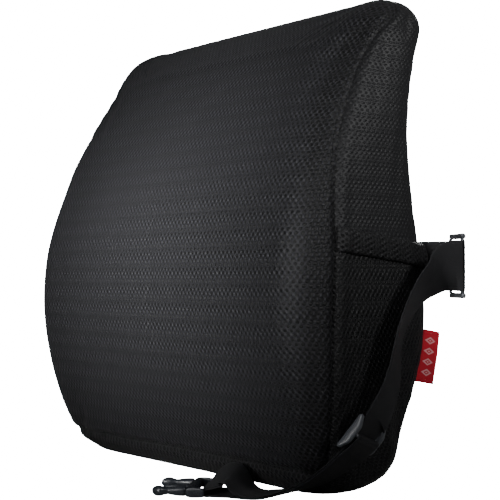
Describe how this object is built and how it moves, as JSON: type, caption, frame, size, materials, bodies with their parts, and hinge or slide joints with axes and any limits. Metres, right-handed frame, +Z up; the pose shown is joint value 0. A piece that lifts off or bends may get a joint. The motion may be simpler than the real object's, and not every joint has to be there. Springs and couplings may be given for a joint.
{
  "type": "lumbar support cushion",
  "caption": "Contoured foam lumbar cushion for an office chair, in a zipped mesh cover, with adjustable webbing side straps that join in a side-release buckle.",
  "frame": {"origin": "centre of the cushion's footprint box on the surface it stands on", "axes": "+X to the cushion's own right as seen from the front, +Y to its back where the chair is, +Z up"},
  "size_m": [0.4521, 0.2375, 0.38],
  "materials": {
    "foam": "open-cell memory foam",
    "liner": "thin knitted inner liner",
    "mesh_front": "fine near-black spacer mesh",
    "mesh_back": "fine near-black spacer mesh",
    "mesh_side": "open-hole near-black spacer mesh",
    "zip_tape": "woven zipper tape",
    "zip_teeth": "moulded teeth",
    "zip_metal": "black painted zinc",
    "webbing": "dark grey woven webbing",
    "thread": "dense sewing thread",
    "buckle_plastic": "smooth light grey moulded plastic",
    "label_red": "woven red ribbon"
  },
  "bodies": {
    "cushion": {"foam_core": "foam", "inner_liner": "liner", "front_panel": "mesh_front", "back_panel": "mesh_back", "bottom_gusset": "mesh_side", "right_side_panel_upper": "mesh_side", "right_side_panel_lower": "mesh_side", "left_side_panel_upper": "mesh_side", "left_side_panel_lower": "mesh_side", "right_side_tab": "mesh_side", "left_side_tab": "mesh_side", "zipper_tape_upper": "zip_tape", "zipper_tape_lower": "zip_tape", "zipper_teeth": "zip_teeth", "zipper_stops": "zip_metal", "right_anchor_webbing": "webbing", "left_anchor_webbing": "webbing", "bar_tacks": "thread"},
    "right_strap": {"right_upper_glide": "buckle_plastic", "right_strap": "webbing", "strap_return": "webbing"},
    "lower_glide": {"lower_glide": "buckle_plastic"},
    "buckle_plug": {"buckle_plug": "buckle_plastic"},
    "plug_arm_near": {"plug_arm_near": "buckle_plastic"},
    "plug_arm_far": {"plug_arm_far": "buckle_plastic"},
    "zipper_slider": {"zipper_slider": "zip_metal"},
    "zipper_pull": {"zipper_pull": "zip_metal"},
    "left_strap": {"left_upper_glide": "buckle_plastic", "left_strap": "webbing"},
    "buckle_socket": {"buckle_socket": "buckle_plastic"},
    "side_label": {"side_label": "label_red"}
  },
  "joints": [
    {"name": "right_strap_swing", "type": "hinge", "parent": "cushion", "child": "right_strap", "pos_m": [0.1966, 0.0695, 0.171], "axis": [0, 0, 1], "range_deg": [0, 60]},
    {"name": "lower_glide_slide", "type": "slide", "parent": "right_strap", "child": "lower_glide", "axis": [-0.4149, -0.4497, -0.791], "range_m": [-0.014, 0.002], "deforming": ["right_strap", "strap_return"]},
    {"name": "plug_lift", "type": "hinge", "parent": "right_strap", "child": "buckle_plug", "pos_m": [0.084, -0.07855, 0.00285], "axis": [-0.6712, 0.7413, 0], "range_deg": [0, 45]},
    {"name": "plug_arm_near_flex", "type": "hinge", "parent": "buckle_plug", "child": "plug_arm_near", "pos_m": [0.08562, -0.09867, 0.0042], "axis": [0, 0, -1], "range_deg": [0, 5], "stiffness_Nm_per_rad": 1},
    {"name": "plug_arm_far_flex", "type": "hinge", "parent": "buckle_plug", "child": "plug_arm_far", "pos_m": [0.06414, -0.07494, 0.0042], "axis": [0, 0, 1], "range_deg": [0, 5], "stiffness_Nm_per_rad": 1},
    {"name": "zipper_slide", "type": "slide", "parent": "cushion", "child": "zipper_slider", "axis": [1, 0, 0], "range_m": [-0.241, 0], "deforming": ["zipper_teeth"]},
    {"name": "zipper_pull_swing", "type": "hinge", "parent": "zipper_slider", "child": "zipper_pull", "pos_m": [0.1256, 0.04347, 0.04668], "axis": [1, 0, 0], "range_deg": [0, 120]},
    {"name": "left_strap_swing", "type": "hinge", "parent": "cushion", "child": "left_strap", "pos_m": [-0.2, 0.06635, 0.171], "axis": [0, 0, 1], "range_deg": [-40, 60]},
    {"name": "socket_swing", "type": "hinge", "parent": "left_strap", "child": "buckle_socket", "pos_m": [-0.20664, 0.11387, 0.098], "axis": [1, 0, 0], "range_deg": [-60, 60]},
    {"name": "label_bend", "type": "hinge", "parent": "cushion", "child": "side_label", "pos_m": [0.17547, 0.05465, 0.103], "axis": [0, 0.185, 0.9827], "range_deg": [-40, 40], "stiffness_Nm_per_rad": 0.002}
  ]
}
